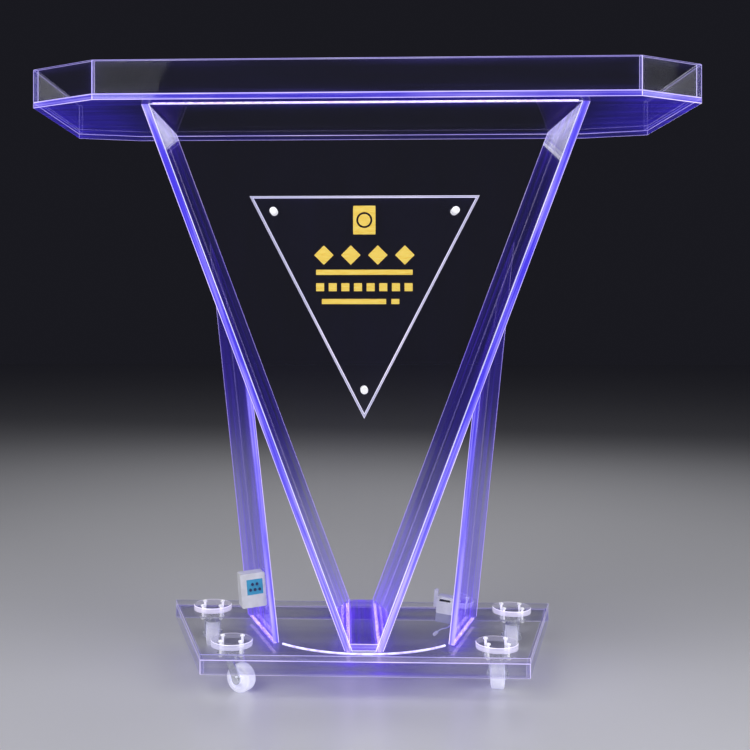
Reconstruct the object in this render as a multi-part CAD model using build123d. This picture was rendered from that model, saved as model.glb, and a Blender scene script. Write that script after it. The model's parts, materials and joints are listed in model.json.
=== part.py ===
from build123d import *
import math
import os

# A clear acrylic presentation lectern on swivel castors, lit through its board edges.
# Millimetres. X runs to the right of someone who faces the front, -Y is the front
# (audience) side, +Z is up. The origin is on the floor under the middle of the tray.

# ------------------------------------------------------------------ driving sizes
# Tray: an eight-sided panel with an upright rim on all but the speaker's side.
TRAY_WIDTH = 1200.0
TRAY_DEPTH = 455.0
TRAY_FRONT_EDGE = 950.0
TRAY_REAR_EDGE = 946.0
TRAY_FRONT_CORNER_DEPTH = 74.0
TRAY_REAR_CORNER_DEPTH = 38.0
TRAY_PANEL = 10.0
RIM_HEIGHT = 60.0
RIM_BOARD = 8.0

# Base: a trapezium panel, wider at the rear, with a skirt under its four edges.
BASE_TOP_Z = 80.0
BASE_PANEL = 10.0
BASE_FRONT_Y = -213.0
BASE_DEPTH = 358.0
BASE_FRONT_WIDTH = 576.0
BASE_REAR_WIDTH = 772.0
SKIRT_HEIGHT = 26.0
SKIRT_BOARD = 8.0

# Front legs: two wide boards in a V, and the clear panel that closes the V in front.
STAND_HEIGHT = 970.0
LEG_BOARD = 12.0
LEG_FRONT_Y = -191.0
LEG_DEPTH = 330.0
LEG_TOP_HALF_SPREAD = 396.0
LEG_FOOT_HALF_SPREAD = 34.0
V_PANEL = 8.0
SPACER_HEIGHT = 12.0
SPACER_REAR_INSET = 24.0
SPACER_NOTCH_MARGIN = 2.0

# Rear props: splayed boards from the base up to the outer faces of the legs.
PROP_BOARD = 12.0
PROP_FOOT_FRONT = (158.0, -146.0)
PROP_FOOT_REAR = (220.0, 42.0)
PROP_TOP_Z = 810.0
PROP_TOP_Y = 130.0

# Name plate: an upside-down triangle held off the V panel by three studs.
PLATE_WIDTH = 402.0
PLATE_HEIGHT = 390.0
PLATE_TOP_Z = 883.0
PLATE_BOARD = 8.0
PLATE_BEVEL_WIDTH = 6.0
PLATE_BEVEL_DEPTH = 4.0
PLATE_GAP = 12.0
STUD_TOP_X = 159.0
STUD_TOP_Z = 857.0
STUD_LOW_Z = 543.0
STUD_RADIUS = 3.0
CAP_RADIUS = 6.5
CAP_THICK = 3.5
CAP_ROUND = 1.2

# Castors: 50 mm wheels under round clear pads.
FRONT_CASTOR = (238.0, -154.0)
REAR_CASTOR = (300.0, 79.0)
PAD_RADIUS = 38.0
PAD_THICK = 10.0
PAD_CHAMFER = 1.0
CASTOR_PLATE = 50.0
CASTOR_PLATE_THICK = 2.5
CASTOR_PLATE_CORNER = 8.0
SCREW_HALF_PITCH = 18.0
SCREW_RADIUS = 2.2
SCREW_HEAD_RADIUS = 4.4
SCREW_HEAD_THICK = 2.8
SCREW_SOCKET_RADIUS = 1.5
SCREW_TAIL = 1.0
NUT_ACROSS_FLATS = 7.0
NUT_THICK = 3.2
WHEEL_RADIUS = 25.0
WHEEL_WIDTH = 24.0
WHEEL_HUB_RADIUS = 9.0
WHEEL_EDGE = 4.0
WHEEL_RECESS_RADIUS = 17.0
WHEEL_RECESS_DEPTH = 2.5
WHEEL_SIDE_GAP = 1.5
TRAIL = 22.0
AXLE_RADIUS = 4.0
AXLE_HEAD_RADIUS = 6.5
AXLE_HEAD_THICK = 3.5
AXLE_ROUND = 1.2
RACE_RADIUS = 17.0
RACE_HEIGHT = 7.5
RACE_ROUND = 2.0
KINGPIN_RADIUS = 4.0
KINGPIN_HEAD_RADIUS = 7.0
KINGPIN_HEAD_THICK = 2.6
KINGPIN_ROUND = 1.0
FORK_SHEET = 3.0
FORK_WEB_RADIUS = 16.5
AXLE_BOSS_RADIUS = 9.0
BRAKE_PIN_RADIUS = 1.8
BRAKE_PIN_TAIL = 1.0
BRAKE_BARREL_RADIUS = 3.4
BRAKE_PIVOT_TRAIL = 24.0
BRAKE_PIVOT_Z = 54.5
BRAKE_EAR_LIP = 1.0
BRAKE_EAR_DROP = 3.0
PEDAL_REACH = 52.0
PEDAL_WIDTH = 20.0
PEDAL_SHEET = 2.5
PEDAL_RISE = 3.5
SHOE_START = 36.0
SHOE_END = 40.0
SHOE_LOW_Z = 48.5
SHOE_LAP = 1.0

# Lighting: strips hidden in grooves, and a light cable laid in an arc on the base.
STRIP_WIDTH = 6.0
STRIP_THICK = 1.8
STRIP_END_MARGIN = 8.0
CABLE_RADIUS = 2.0
CABLE_ARC_FRONT_Y = -202.0
CABLE_ARC_RADIUS = 220.0
CABLE_HALF_SPAN = 146.0

# Controller on the left prop, and the power box on the right prop.
CONTROLLER_WIDTH = 46.0
CONTROLLER_HEIGHT = 62.0
CONTROLLER_DEPTH = 26.0
CONTROLLER_LIFT = 64.0
CONTROLLER_SETBACK = 15.0
CONTROLLER_WALL = 2.0
CONTROLLER_CORNER = 3.0
KEYPAD_WIDTH = 30.0
KEYPAD_HEIGHT = 28.0
KEYPAD_SHEET = 0.8
KEYPAD_SHIFT_X = 3.0
KEYPAD_SHIFT_Y = 6.0
BOARD_THICK = 1.6
BOARD_SETBACK = 4.0
BUTTON_RADIUS = 2.6
BUTTON_PROUD = 1.6
BUTTON_TRAVEL = 0.8
BUTTON_ROUND = 0.7
BUTTON_FLANGE_RIM = 0.8
BUTTON_FLANGE_THICK = 1.0
BUTTON_ROW_GAP = 10.0
BUTTON_COLUMN_GAP = 8.5
POWER_WIDTH = 30.0
POWER_HEIGHT = 46.0
POWER_DEPTH = 24.0
POWER_LIFT = 34.0
POWER_SETBACK = 8.0
POWER_WALL = 2.0
POWER_CORNER = 2.0
POWER_COVER_HEIGHT = 16.0
POWER_SLOT_HEIGHT = 4.0
POWER_SLOT_WIDTH = 20.0
POWER_SLOT_DROP = 6.0
AERIAL_WIDTH = 6.0
AERIAL_DEPTH = 8.0
AERIAL_RISE = 12.0
AERIAL_LAP = 20.0
AERIAL_SETBACK = 2.0
LINK_RADIUS = 1.3
LINK_START_X = -9.0
LINK_START_Y = 30.0
LINK_OUT = 26.0
LINK_DROP = 21.0
LINK_RETURN = 18.0
LINK_BURY = 6.0
LINK_TURNS = (9.0, 9.0, 7.8)
LEAD_RADIUS = 1.0
LEAD_TURNS = (6.4, 23.8, 11.7)
SOCKET_RADIUS = 3.0
SOCKET_LENGTH = 10.0
SOCKET_ROUND = 0.8

# Clearances
RUNNING_GAP = 0.05
HOLE_GAP = 0.1
AXIAL_GAP = 0.3
GROOVE_GAP = 0.1

# ------------------------------------------------------------------ places worked out
TRAY_UNDER_Z = BASE_TOP_Z + STAND_HEIGHT
TRAY_TOP_Z = TRAY_UNDER_Z + TRAY_PANEL
BASE_UNDER_Z = BASE_TOP_Z - BASE_PANEL
BASE_REAR_Y = BASE_FRONT_Y + BASE_DEPTH
LEG_REAR_Y = LEG_FRONT_Y + LEG_DEPTH
LEG_SLOPE = (LEG_TOP_HALF_SPREAD - LEG_FOOT_HALF_SPREAD) / STAND_HEIGHT
LEG_LEVEL_THICKNESS = LEG_BOARD * math.hypot(1.0, LEG_SLOPE)
SIDES = {"left": -1, "right": 1}
WELD_LAP = 0.5
CUT_LAP = 1.0
PROP_OVERRUN = 60.0
FAR = 900.0

os.makedirs("parts", exist_ok=True)


def save(node, shape):
    """Write one node as parts/NODE.step."""
    export_step(shape, f"parts/{node}.step")


def leg_outer_x(z):
    """How far the outer face of a leg stands from the middle at height z."""
    return LEG_FOOT_HALF_SPREAD + LEG_SLOPE * (z - BASE_TOP_Z)


def leg_inner_x(z):
    """How far the inner face of a leg stands from the middle at height z."""
    return leg_outer_x(z) - LEG_LEVEL_THICKNESS


def prism(points, low_z, height):
    """A flat outline in plan, raised from low_z."""
    face = make_face(Polyline(*points, close=True))
    return Pos(0, 0, low_z) * extrude(face, amount=height, dir=(0, 0, 1))


def upright_prism(points, front_y, depth):
    """An outline drawn in X and Z, carried back from front_y."""
    face = make_face(Polyline(*[(x, front_y, z) for x, z in points], close=True))
    return extrude(face, amount=depth, dir=(0, 1, 0))


def disc(radius, low_z, height):
    """A round about the Z axis that starts at low_z."""
    return Pos(0, 0, low_z) * extrude(Circle(radius), amount=height)


def bar_across(radius, x, z, half_length):
    """A round along Y, centred on the XZ plane."""
    return Pos(x, 0, z) * Rot(90, 0, 0) * Cylinder(radius, 2 * half_length)


# ------------------------------------------------------------------ mitred board rings
def inward(start, end):
    """Unit normal on the left of the edge, which is inside an anticlockwise outline."""
    along = (Vector(*end) - Vector(*start)).normalized()
    return Vector(-along.Y, along.X)


def inner_corner(before, corner, after, thickness):
    """Where the inner faces of two boards meet at a mitred corner."""
    first = inward(before, corner)
    second = inward(corner, after)
    shift = (first + second) * (thickness / (1 + first.dot(second)))
    return (corner[0] + shift.X, corner[1] + shift.Y)


def square_end(corner, start, end, thickness):
    """Where a board's inner face stops at an end that is cut square."""
    shift = inward(start, end) * thickness
    return (corner[0] + shift.X, corner[1] + shift.Y)


def ring_board(outline, index, thickness, low_z, height, square_start=False, square_finish=False):
    """The upright board on edge number index of an anticlockwise outline."""
    count = len(outline)
    before = outline[index - 1]
    start = outline[index]
    end = outline[(index + 1) % count]
    after = outline[(index + 2) % count]
    inner_start = inner_corner(before, start, end, thickness)
    inner_end = inner_corner(start, end, after, thickness)
    if square_start:
        inner_start = square_end(start, start, end, thickness)
    if square_finish:
        inner_end = square_end(end, start, end, thickness)
    return prism([start, end, inner_end, inner_start], low_z, height)


# ------------------------------------------------------------------ tray
def tray_outline():
    """The eight corners, anticlockwise from the front left."""
    front = -TRAY_DEPTH / 2
    rear = TRAY_DEPTH / 2
    side = TRAY_WIDTH / 2
    return [
        (-TRAY_FRONT_EDGE / 2, front),
        (TRAY_FRONT_EDGE / 2, front),
        (side, front + TRAY_FRONT_CORNER_DEPTH),
        (side, rear - TRAY_REAR_CORNER_DEPTH),
        (TRAY_REAR_EDGE / 2, rear),
        (-TRAY_REAR_EDGE / 2, rear),
        (-side, rear - TRAY_REAR_CORNER_DEPTH),
        (-side, front + TRAY_FRONT_CORNER_DEPTH),
    ]


def tray_strip_half_length():
    """The tray's light strip runs along the top of the V panel, inside the legs."""
    return leg_inner_x(TRAY_UNDER_Z) - STRIP_END_MARGIN


def tray_strip(width, thickness, extra_length):
    """A bar in the tray's underside, over the V panel."""
    length = 2 * (tray_strip_half_length() + extra_length)
    middle_y = LEG_FRONT_Y + V_PANEL / 2
    return Pos(0, middle_y, TRAY_UNDER_Z + thickness / 2) * Box(length, width, thickness)


def make_tray():
    outline = tray_outline()
    panel = prism(outline, TRAY_UNDER_Z, TRAY_PANEL)
    groove = tray_strip(STRIP_WIDTH + 2 * GROOVE_GAP, STRIP_THICK + GROOVE_GAP, GROOVE_GAP)
    save("tray_panel", panel - groove)
    rim = {
        "tray_front_wall": (0, False, False),
        "tray_front_right_wall": (1, False, False),
        "tray_right_wall": (2, False, True),
        "tray_left_wall": (6, True, False),
        "tray_front_left_wall": (7, False, False),
    }
    for node, (index, square_start, square_finish) in rim.items():
        wall = ring_board(outline, index, RIM_BOARD, TRAY_TOP_Z, RIM_HEIGHT, square_start, square_finish)
        save(node, wall)


# ------------------------------------------------------------------ light strips and cable
def leg_strip(side, width, thickness, extra_length):
    """A bar in the top of the base, under the middle of a leg's foot."""
    length = LEG_DEPTH - 2 * STRIP_END_MARGIN + 2 * extra_length
    middle_x = side * (LEG_FOOT_HALF_SPREAD - LEG_LEVEL_THICKNESS / 2)
    middle_y = (LEG_FRONT_Y + LEG_REAR_Y) / 2
    return Pos(middle_x, middle_y, BASE_TOP_Z - thickness / 2) * Box(width, length, thickness)


def prop_strip(side, width, thickness, extra_length):
    """A bar in the top of the base, under the middle of a prop's foot."""
    front = Vector(side * PROP_FOOT_FRONT[0], PROP_FOOT_FRONT[1])
    rear = Vector(side * PROP_FOOT_REAR[0], PROP_FOOT_REAR[1])
    run = rear - front
    length = run.length - 2 * STRIP_END_MARGIN + 2 * extra_length
    middle = (front + rear) * 0.5
    turn = math.degrees(math.atan2(run.Y, run.X))
    bar = Rot(0, 0, turn) * Box(length, width, thickness)
    return Pos(middle.X, middle.Y, BASE_TOP_Z - thickness / 2) * bar


def arc_tube(radius, half_span):
    """A round cable lying in an arc about the Z axis, half sunk in the base."""
    centre_y = CABLE_ARC_FRONT_Y + CABLE_ARC_RADIUS
    half_turn = math.degrees(math.asin(half_span / CABLE_ARC_RADIUS))
    section = Plane.XZ * Pos(CABLE_ARC_RADIUS, 0) * Circle(radius)
    tube = revolve(section, axis=Axis.Z, revolution_arc=2 * half_turn)
    return Pos(0, centre_y, BASE_TOP_Z) * Rot(0, 0, -90 - half_turn) * tube


def make_led_strips():
    strips = [tray_strip(STRIP_WIDTH, STRIP_THICK, 0.0)]
    for side in SIDES.values():
        strips.append(leg_strip(side, STRIP_WIDTH, STRIP_THICK, 0.0))
        strips.append(prop_strip(side, STRIP_WIDTH, STRIP_THICK, 0.0))
    save("led_strips", Compound(strips))


# ------------------------------------------------------------------ base and castor pads
def base_outline():
    """The four corners, anticlockwise from the front left."""
    return [
        (-BASE_FRONT_WIDTH / 2, BASE_FRONT_Y),
        (BASE_FRONT_WIDTH / 2, BASE_FRONT_Y),
        (BASE_REAR_WIDTH / 2, BASE_REAR_Y),
        (-BASE_REAR_WIDTH / 2, BASE_REAR_Y),
    ]


def castor_places():
    """Name, swivel axis in plan, the way the wheel trails, and whether it has a brake."""
    return [
        ("front_left", (-FRONT_CASTOR[0], FRONT_CASTOR[1]), -32.0, False),
        ("front_right", (FRONT_CASTOR[0], FRONT_CASTOR[1]), 78.0, False),
        ("rear_left", (-REAR_CASTOR[0], REAR_CASTOR[1]), 100.0, True),
        ("rear_right", (REAR_CASTOR[0], REAR_CASTOR[1]), 83.0, True),
    ]


def screw_places():
    """Every castor screw in plan."""
    corners = [(a, b) for a in (-1, 1) for b in (-1, 1)]
    return [
        (x + a * SCREW_HALF_PITCH, y + b * SCREW_HALF_PITCH)
        for _, (x, y), _, _ in castor_places()
        for a, b in corners
    ]


def at_screws(shape):
    """One copy of the shape at each castor screw."""
    return [Pos(x, y, 0) * shape for x, y in screw_places()]


def make_base():
    outline = base_outline()
    panel = prism(outline, BASE_UNDER_Z, BASE_PANEL)
    for side in SIDES.values():
        panel -= leg_strip(side, STRIP_WIDTH + 2 * GROOVE_GAP, STRIP_THICK + GROOVE_GAP, GROOVE_GAP)
        panel -= prop_strip(side, STRIP_WIDTH + 2 * GROOVE_GAP, STRIP_THICK + GROOVE_GAP, GROOVE_GAP)
    panel -= arc_tube(CABLE_RADIUS + GROOVE_GAP, CABLE_HALF_SPAN + GROOVE_GAP)
    hole = disc(SCREW_RADIUS + HOLE_GAP, BASE_UNDER_Z, BASE_PANEL)
    panel -= at_screws(hole)
    panel -= link_cable_hole()
    save("base_panel", panel)
    save("base_light_cable", arc_tube(CABLE_RADIUS, CABLE_HALF_SPAN))
    for index, node in enumerate(("front", "right", "rear", "left")):
        skirt = ring_board(outline, index, SKIRT_BOARD, BASE_UNDER_Z - SKIRT_HEIGHT, SKIRT_HEIGHT)
        save(f"base_{node}_skirt", skirt)


def make_pads():
    pads = []
    pad_hole = disc(SCREW_RADIUS + HOLE_GAP, BASE_TOP_Z, PAD_THICK)
    for _, (x, y), _, _ in castor_places():
        pad = Pos(x, y, 0) * disc(PAD_RADIUS, BASE_TOP_Z, PAD_THICK)
        pad = chamfer(pad.edges().filter_by(GeomType.CIRCLE).group_by(Axis.Z)[-1], PAD_CHAMFER)
        pads.append(pad - at_screws(pad_hole))
    save("castor_pads", Compound(pads))
    plate_under_z = BASE_UNDER_Z - CASTOR_PLATE_THICK
    pad_top_z = BASE_TOP_Z + PAD_THICK
    nut_low_z = plate_under_z - NUT_THICK
    shank = disc(SCREW_RADIUS, nut_low_z - SCREW_TAIL, pad_top_z - nut_low_z + SCREW_TAIL)
    head = disc(SCREW_HEAD_RADIUS, pad_top_z, SCREW_HEAD_THICK)
    head = fillet(head.edges().group_by(Axis.Z)[-1], SCREW_HEAD_THICK * 0.4)
    socket = extrude(RegularPolygon(SCREW_SOCKET_RADIUS, 6), SCREW_HEAD_THICK)
    head -= Pos(0, 0, pad_top_z + SCREW_HEAD_THICK / 2) * socket
    save("pad_screws", Compound(at_screws(shank + head)))
    nut = extrude(RegularPolygon(NUT_ACROSS_FLATS / 2, 6, major_radius=False), NUT_THICK)
    nut = Pos(0, 0, nut_low_z) * nut - disc(SCREW_RADIUS + HOLE_GAP, nut_low_z, NUT_THICK)
    save("pad_nuts", Compound(at_screws(nut)))


# ------------------------------------------------------------------ castors
FORK_INNER_HALF = WHEEL_WIDTH / 2 + WHEEL_SIDE_GAP
FORK_OUTER_HALF = FORK_INNER_HALF + FORK_SHEET
RACE_LOW_Z = BASE_UNDER_Z - CASTOR_PLATE_THICK - RACE_HEIGHT
FORK_TOP_Z = RACE_LOW_Z - AXIAL_GAP
FORK_WEB_LOW_Z = FORK_TOP_Z - FORK_SHEET


def castor_plate():
    """Screwed plate, the upper ball race under it and the pin that the fork turns on."""
    plate_low = BASE_UNDER_Z - CASTOR_PLATE_THICK
    outline = RectangleRounded(CASTOR_PLATE, CASTOR_PLATE, CASTOR_PLATE_CORNER)
    plate = Pos(0, 0, plate_low) * extrude(outline, CASTOR_PLATE_THICK)
    corners = [(a * SCREW_HALF_PITCH, b * SCREW_HALF_PITCH) for a in (-1, 1) for b in (-1, 1)]
    hole = disc(SCREW_RADIUS + HOLE_GAP, plate_low, CASTOR_PLATE_THICK)
    plate -= [Pos(x, y, 0) * hole for x, y in corners]
    race = disc(RACE_RADIUS, RACE_LOW_Z, RACE_HEIGHT + WELD_LAP)
    race = fillet(race.edges().group_by(Axis.Z)[0], RACE_ROUND)
    head_top = FORK_WEB_LOW_Z - AXIAL_GAP
    pin = disc(KINGPIN_RADIUS, head_top - WELD_LAP, RACE_LOW_Z - head_top + 2 * WELD_LAP)
    head = disc(KINGPIN_HEAD_RADIUS, head_top - KINGPIN_HEAD_THICK, KINGPIN_HEAD_THICK)
    head = fillet(head.edges().group_by(Axis.Z)[0], KINGPIN_ROUND)
    return plate + race + pin + head


def castor_fork(braked):
    """A bent yoke: a round web under the race and an arm down each side of the wheel."""
    web = disc(FORK_WEB_RADIUS, FORK_WEB_LOW_Z, FORK_SHEET)
    middle = Pos(TRAIL / 4, 0, FORK_WEB_LOW_Z + FORK_SHEET / 2)
    web += middle * Box(FORK_WEB_RADIUS, 2 * FORK_OUTER_HALF, FORK_SHEET)
    rear_x = TRAIL + AXLE_BOSS_RADIUS
    boss_diagonal = AXLE_BOSS_RADIUS * math.cos(math.radians(45))
    top_edge = [(TRAIL / 4 + way * FORK_WEB_RADIUS / 2, FORK_TOP_Z) for way in (-1, 1)]
    rear_edge = [
        (rear_x, WHEEL_RADIUS + AXLE_BOSS_RADIUS / 2),
        (rear_x, WHEEL_RADIUS),
        (TRAIL, WHEEL_RADIUS - AXLE_BOSS_RADIUS),
        (TRAIL - boss_diagonal, WHEEL_RADIUS - boss_diagonal),
    ]
    ear_x = BRAKE_PIVOT_TRAIL + BRAKE_BARREL_RADIUS
    ear = [
        (ear_x, BRAKE_PIVOT_Z + BRAKE_BARREL_RADIUS),
        (ear_x + BRAKE_EAR_LIP, BRAKE_PIVOT_Z - BRAKE_EAR_DROP),
    ]
    outline = top_edge + (ear if braked else []) + rear_edge
    arms = upright_prism(outline, -FORK_OUTER_HALF, 2 * FORK_OUTER_HALF)
    arms += bar_across(AXLE_BOSS_RADIUS, TRAIL, WHEEL_RADIUS, FORK_OUTER_HALF)
    between_height = FORK_TOP_Z + FORK_SHEET
    arms -= Pos(0, 0, between_height / 2) * Box(4 * WHEEL_RADIUS, 2 * FORK_INNER_HALF, between_height)
    fork = web + arms
    hole_half = FORK_OUTER_HALF + CUT_LAP
    fork -= disc(KINGPIN_RADIUS + RUNNING_GAP, FORK_WEB_LOW_Z - CUT_LAP, FORK_SHEET + 2 * CUT_LAP)
    fork -= bar_across(AXLE_RADIUS + RUNNING_GAP, TRAIL, WHEEL_RADIUS, hole_half)
    if braked:
        fork -= bar_across(BRAKE_PIN_RADIUS + RUNNING_GAP, BRAKE_PIVOT_TRAIL, BRAKE_PIVOT_Z, hole_half)
    return fork


def castor_axle():
    """Bolt through the fork and the wheel, with a round head and a nut."""
    axle = bar_across(AXLE_RADIUS, TRAIL, WHEEL_RADIUS, FORK_OUTER_HALF + WELD_LAP)
    for way in (-1, 1):
        face_y = way * (FORK_OUTER_HALF + AXLE_HEAD_THICK / 2)
        head = Pos(0, face_y, 0) * bar_across(AXLE_HEAD_RADIUS, TRAIL, WHEEL_RADIUS, AXLE_HEAD_THICK / 2)
        outer = head.edges().filter_by(GeomType.CIRCLE).sort_by(Axis.Y)[-1 if way > 0 else 0]
        axle += fillet(outer, AXLE_ROUND)
    return axle


def castor_wheel():
    """Moulded wheel with a round-edged tread, recessed sides and a long hub."""
    tread = bar_across(WHEEL_RADIUS, TRAIL, WHEEL_RADIUS, WHEEL_WIDTH / 2)
    tread = fillet(tread.edges().filter_by(GeomType.CIRCLE), WHEEL_EDGE)
    for way in (-1, 1):
        recess_y = way * (WHEEL_WIDTH / 2 - WHEEL_RECESS_DEPTH / 2)
        recess = bar_across(WHEEL_RECESS_RADIUS, TRAIL, WHEEL_RADIUS, WHEEL_RECESS_DEPTH / 2)
        tread -= Pos(0, recess_y, 0) * recess
    tread += bar_across(WHEEL_HUB_RADIUS, TRAIL, WHEEL_RADIUS, FORK_INNER_HALF - AXIAL_GAP)
    return tread - bar_across(AXLE_RADIUS + RUNNING_GAP, TRAIL, WHEEL_RADIUS, WHEEL_WIDTH)


def brake_pin():
    """Rivet that the brake pedal turns on."""
    return bar_across(BRAKE_PIN_RADIUS, BRAKE_PIVOT_TRAIL, BRAKE_PIVOT_Z, FORK_OUTER_HALF + BRAKE_PIN_TAIL)


def brake_pedal():
    """Pedal over the wheel, with a barrel on the pin and a shoe above the tread."""
    x0 = BRAKE_PIVOT_TRAIL
    z0 = BRAKE_PIVOT_Z
    half = PEDAL_WIDTH / 2
    sheet = upright_prism(
        [
            (x0, z0 - PEDAL_SHEET / 2),
            (PEDAL_REACH, z0 + PEDAL_RISE - PEDAL_SHEET / 2),
            (PEDAL_REACH, z0 + PEDAL_RISE + PEDAL_SHEET / 2),
            (x0, z0 + PEDAL_SHEET / 2),
        ],
        -half,
        PEDAL_WIDTH,
    )
    shoe_top = z0 + SHOE_LAP
    shoe = upright_prism(
        [(SHOE_START, SHOE_LOW_Z), (SHOE_END, SHOE_LOW_Z), (SHOE_END, shoe_top), (SHOE_START, shoe_top)],
        -half,
        PEDAL_WIDTH,
    )
    pedal = sheet + shoe + bar_across(BRAKE_BARREL_RADIUS, x0, z0, half)
    return pedal - bar_across(BRAKE_PIN_RADIUS + RUNNING_GAP, x0, z0, half + CUT_LAP)


def make_castors():
    for name, (x, y), trail_angle, braked in castor_places():
        place = Pos(x, y, 0)
        turned = Pos(x, y, 0) * Rot(0, 0, trail_angle)
        save(f"{name}_castor_plate", place * castor_plate())
        save(f"{name}_castor_fork", turned * castor_fork(braked))
        save(f"{name}_castor_axle", turned * castor_axle())
        save(f"{name}_castor_wheel", turned * castor_wheel())
        if braked:
            save(f"{name}_brake_pedal", turned * brake_pedal())
            save(f"{name}_brake_pin", turned * brake_pin())


# ------------------------------------------------------------------ legs, V panel, spacer
def make_legs():
    for name, side in SIDES.items():
        foot = BASE_TOP_Z
        top = TRAY_UNDER_Z
        outline = [
            (side * leg_outer_x(foot), foot),
            (side * leg_inner_x(foot), foot),
            (side * leg_inner_x(top), top),
            (side * leg_outer_x(top), top),
        ]
        save(f"{name}_leg", upright_prism(outline, LEG_FRONT_Y, LEG_DEPTH))


def make_v_panel():
    low = leg_inner_x(BASE_TOP_Z)
    high = leg_inner_x(TRAY_UNDER_Z)
    outline = [(-low, BASE_TOP_Z), (low, BASE_TOP_Z), (high, TRAY_UNDER_Z), (-high, TRAY_UNDER_Z)]
    panel = upright_prism(outline, LEG_FRONT_Y, V_PANEL)
    for x, z in stud_places():
        panel -= along_y(STUD_RADIUS + HOLE_GAP, x, z, LEG_FRONT_Y - CUT_LAP, V_PANEL + 2 * CUT_LAP)
    save("v_panel", panel)


def make_foot_spacer():
    low = leg_inner_x(BASE_TOP_Z)
    high = leg_inner_x(BASE_TOP_Z + SPACER_HEIGHT)
    top_z = BASE_TOP_Z + SPACER_HEIGHT
    outline = [(-low, BASE_TOP_Z), (low, BASE_TOP_Z), (high, top_z), (-high, top_z)]
    front_y = LEG_FRONT_Y + V_PANEL
    rear_y = LEG_REAR_Y - SPACER_REAR_INSET
    spacer = upright_prism(outline, front_y, rear_y - front_y)
    notch_height = SPACER_HEIGHT + 2 * CUT_LAP
    notch = Pos(0, rear_y, 0) * disc(low - SPACER_NOTCH_MARGIN, BASE_TOP_Z - CUT_LAP, notch_height)
    save("foot_spacer", spacer - notch)


# ------------------------------------------------------------------ name plate
def stud_places():
    """The three fixings in X and Z."""
    return [(-STUD_TOP_X, STUD_TOP_Z), (STUD_TOP_X, STUD_TOP_Z), (0.0, STUD_LOW_Z)]


def along_y(radius, x, z, start_y, length):
    """A round along Y from start_y."""
    return Pos(x, start_y + length / 2, z) * Rot(90, 0, 0) * Cylinder(radius, length)


def make_name_plate():
    back_y = LEG_FRONT_Y - PLATE_GAP
    front_y = back_y - PLATE_BOARD
    corners = [
        (-PLATE_WIDTH / 2, PLATE_TOP_Z),
        (PLATE_WIDTH / 2, PLATE_TOP_Z),
        (0.0, PLATE_TOP_Z - PLATE_HEIGHT),
    ]
    plate = upright_prism(corners, front_y, PLATE_BOARD)
    front_edges = plate.edges().group_by(Axis.Y)[0]
    front_face = plate.faces().sort_by(Axis.Y)[0]
    plate = chamfer(front_edges, PLATE_BEVEL_DEPTH, PLATE_BEVEL_WIDTH, reference=front_face)
    for x, z in stud_places():
        plate -= along_y(STUD_RADIUS + HOLE_GAP, x, z, front_y - CUT_LAP, PLATE_BOARD + 2 * CUT_LAP)
    save("name_plate", plate)
    barrels = []
    studs = []
    for x, z in stud_places():
        barrel = along_y(CAP_RADIUS, x, z, back_y, PLATE_GAP)
        bore = along_y(STUD_RADIUS + HOLE_GAP, x, z, back_y - CUT_LAP, PLATE_GAP + 2 * CUT_LAP)
        barrels.append(barrel - bore)
        rear_y = LEG_FRONT_Y + V_PANEL
        shank = along_y(STUD_RADIUS, x, z, front_y - WELD_LAP, rear_y - front_y + 2 * WELD_LAP)
        cap = along_y(CAP_RADIUS, x, z, front_y - CAP_THICK, CAP_THICK)
        cap = fillet(cap.edges().filter_by(GeomType.CIRCLE).sort_by(Axis.Y)[0], CAP_ROUND)
        nut = along_y(CAP_RADIUS, x, z, rear_y, CAP_THICK)
        studs.append(cap + shank + nut)
    save("name_plate_barrels", Compound(barrels))
    save("name_plate_studs", Compound(studs))


# ------------------------------------------------------------------ rear props
def prop_axes(side):
    """Foot corner, the way back along the foot, the lean of the edges, the outward normal."""
    front = Vector(side * PROP_FOOT_FRONT[0], PROP_FOOT_FRONT[1], BASE_TOP_Z)
    rear = Vector(side * PROP_FOOT_REAR[0], PROP_FOOT_REAR[1], BASE_TOP_Z)
    top = Vector(side * leg_outer_x(PROP_TOP_Z), PROP_TOP_Y, PROP_TOP_Z)
    back = (rear - front).normalized()
    lean = (top - rear).normalized()
    outward = back.cross(lean).normalized() * side
    return front, rear, back, lean, outward


def prop_board(side):
    """A board with parallel edges, cut level at its foot and along the leg's outer face."""
    front, rear, _, lean, outward = prop_axes(side)
    below = lean * -PROP_OVERRUN
    above = lean * STAND_HEIGHT
    corners = [front + below, rear + below, rear + above, front + above]
    face = make_face(Polyline(*corners, close=True))
    board = extrude(face, amount=PROP_BOARD / 2, dir=outward)
    board += extrude(face, amount=PROP_BOARD / 2, dir=outward * -1)
    top = TRAY_UNDER_Z
    outside = [
        (side * leg_outer_x(BASE_TOP_Z), BASE_TOP_Z),
        (side * FAR, BASE_TOP_Z),
        (side * FAR, top),
        (side * leg_outer_x(top), top),
    ]
    return board & upright_prism(outside, -FAR, 2 * FAR)


def make_props():
    for name, side in SIDES.items():
        save(f"{name}_prop", prop_board(side))


def prop_face(side, face_way, lift):
    """A frame on a prop's face at its front edge: x to the right, y up, z to the front.

    face_way is 1 for the outer face and -1 for the inner face.
    """
    front, _, back, lean, outward = prop_axes(side)
    corner = front + lean * (lift / lean.Z) + outward * (face_way * PROP_BOARD / 2)
    return Plane(origin=corner, x_dir=outward * side, z_dir=back * -1)


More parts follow.
